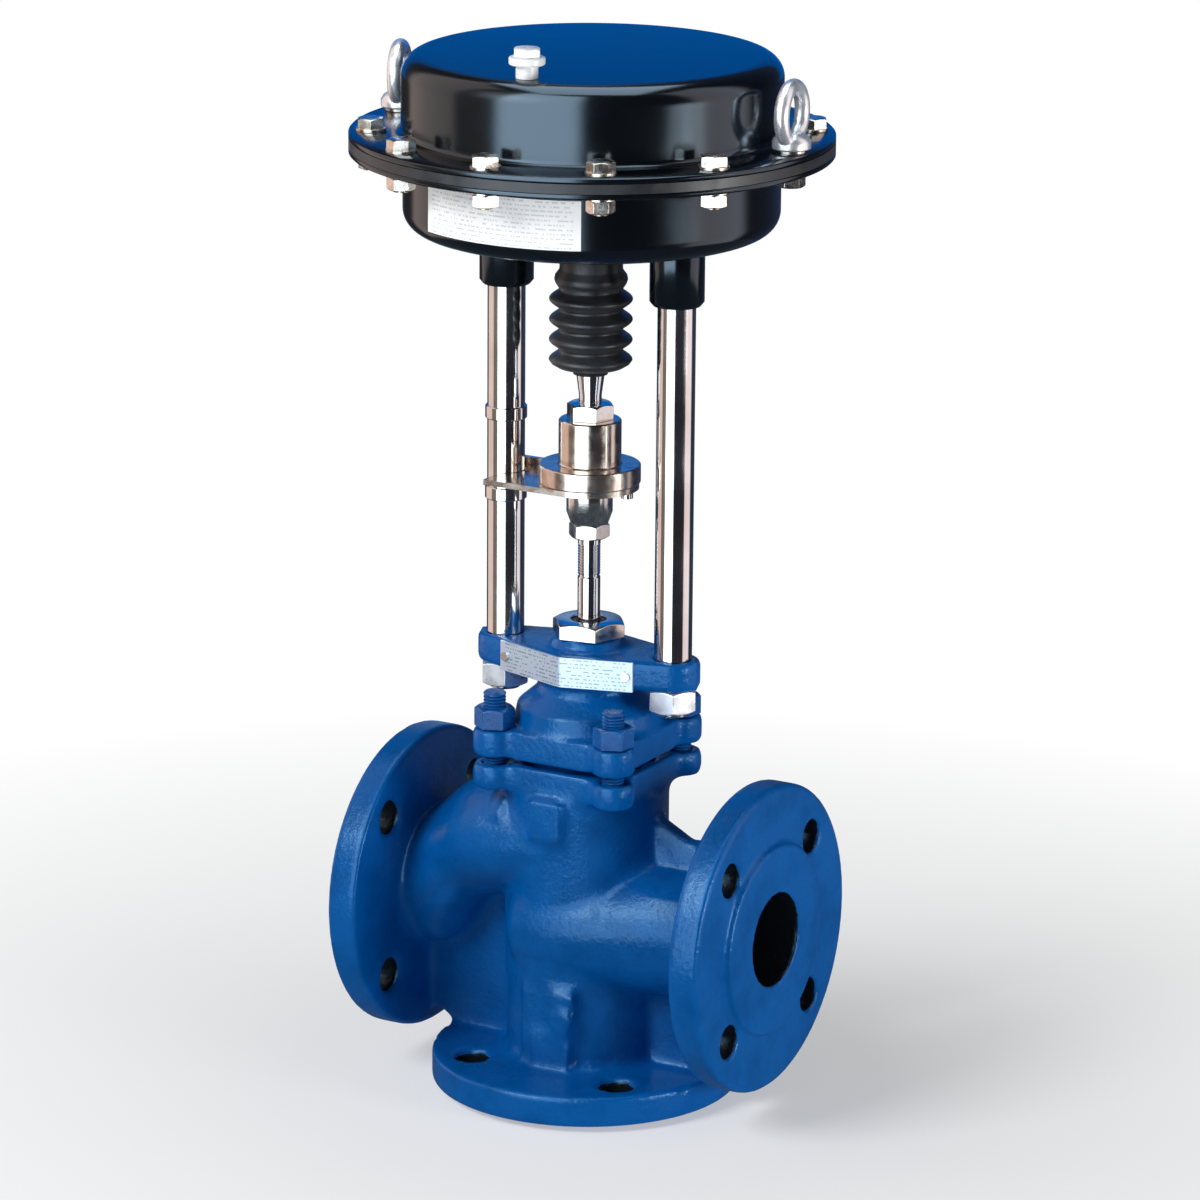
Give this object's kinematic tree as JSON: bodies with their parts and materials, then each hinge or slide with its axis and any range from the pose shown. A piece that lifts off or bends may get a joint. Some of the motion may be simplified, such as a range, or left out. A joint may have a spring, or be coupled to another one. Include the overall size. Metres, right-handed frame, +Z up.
{
  "type": "three-way control valve",
  "caption": "Three-way flanged globe control valve: cast body with two side ports and a bottom port, bonnet, two pillars, stem coupling and a spring-loaded diaphragm actuator.",
  "frame": {"origin": "centre of the bottom port's flange face, which is the lowest point of the part", "axes": "+Z up along the valve stem, +X towards the right-hand port along the two side ports' common axis, +Y to the back"},
  "size_m": [0.2512, 0.2512, 0.5756],
  "materials": {
    "body_paint": "gloss enamel on a cast surface",
    "casing_paint": "gloss enamel on pressed sheet",
    "pillar_chrome": "bright ground bar",
    "stem_steel": "ground stainless steel",
    "trim_steel": "turned stainless steel",
    "nickel": "turned and nickel plated",
    "zinc": "zinc plated",
    "spring_steel": "oiled spring wire",
    "bronze": "plain bearing bronze",
    "rubber": "moulded rubber",
    "packing": "moulded fluoropolymer",
    "graphite": "pressed graphite",
    "white_plastic": "moulded",
    "label_film": "printed film",
    "plate_aluminium": "brushed"
  },
  "bodies": {
    "valve": {"valve_body": "body_paint", "lower_seat_ring": "trim_steel", "upper_seat_ring": "trim_steel", "bonnet_gasket": "graphite", "bonnet": "body_paint", "bonnet_studs": "body_paint", "bonnet_nuts": "body_paint", "stem_guide_bush": "bronze", "packing_washers": "trim_steel", "packing_spring": "spring_steel", "packing_rings": "packing", "gland_nut": "nickel", "wiper_ring": "rubber", "left_pillar": "pillar_chrome", "right_pillar": "pillar_chrome", "pillar_nuts": "zinc", "lower_travel_ring": "nickel", "upper_travel_ring": "nickel", "stem_bellows": "rubber", "lower_casing": "casing_paint", "upper_casing": "casing_paint", "stem_bush": "bronze", "stem_seal": "rubber", "vent_plug": "white_plastic", "diaphragm": "rubber", "actuator_spring": "spring_steel", "casing_bolts": "zinc", "casing_nuts": "zinc", "casing_washers": "zinc", "lifting_eyes": "zinc", "actuator_label": "label_film", "yoke_nameplate": "plate_aluminium", "nameplate_rivets": "plate_aluminium"},
    "stem": {"valve_plug": "trim_steel", "plug_pin": "trim_steel", "valve_stem": "stem_steel", "lower_lock_nut": "nickel", "coupling_hub": "nickel", "indicator_plate": "nickel", "indicator_screws": "zinc", "coupling_sleeve": "nickel", "upper_lock_nut": "nickel", "actuator_stem": "stem_steel", "clamp_washer": "trim_steel", "diaphragm_plate": "trim_steel", "plate_nut": "zinc"}
  },
  "joints": [
    {"name": "stem_travel", "type": "slide", "parent": "valve", "child": "stem", "axis": [0, 0, 1], "range_m": [0, 0.02], "stiffness_N_per_m": 20000, "springref_m": -0.02, "deforming": ["actuator_spring", "stem_bellows", "diaphragm"]}
  ]
}
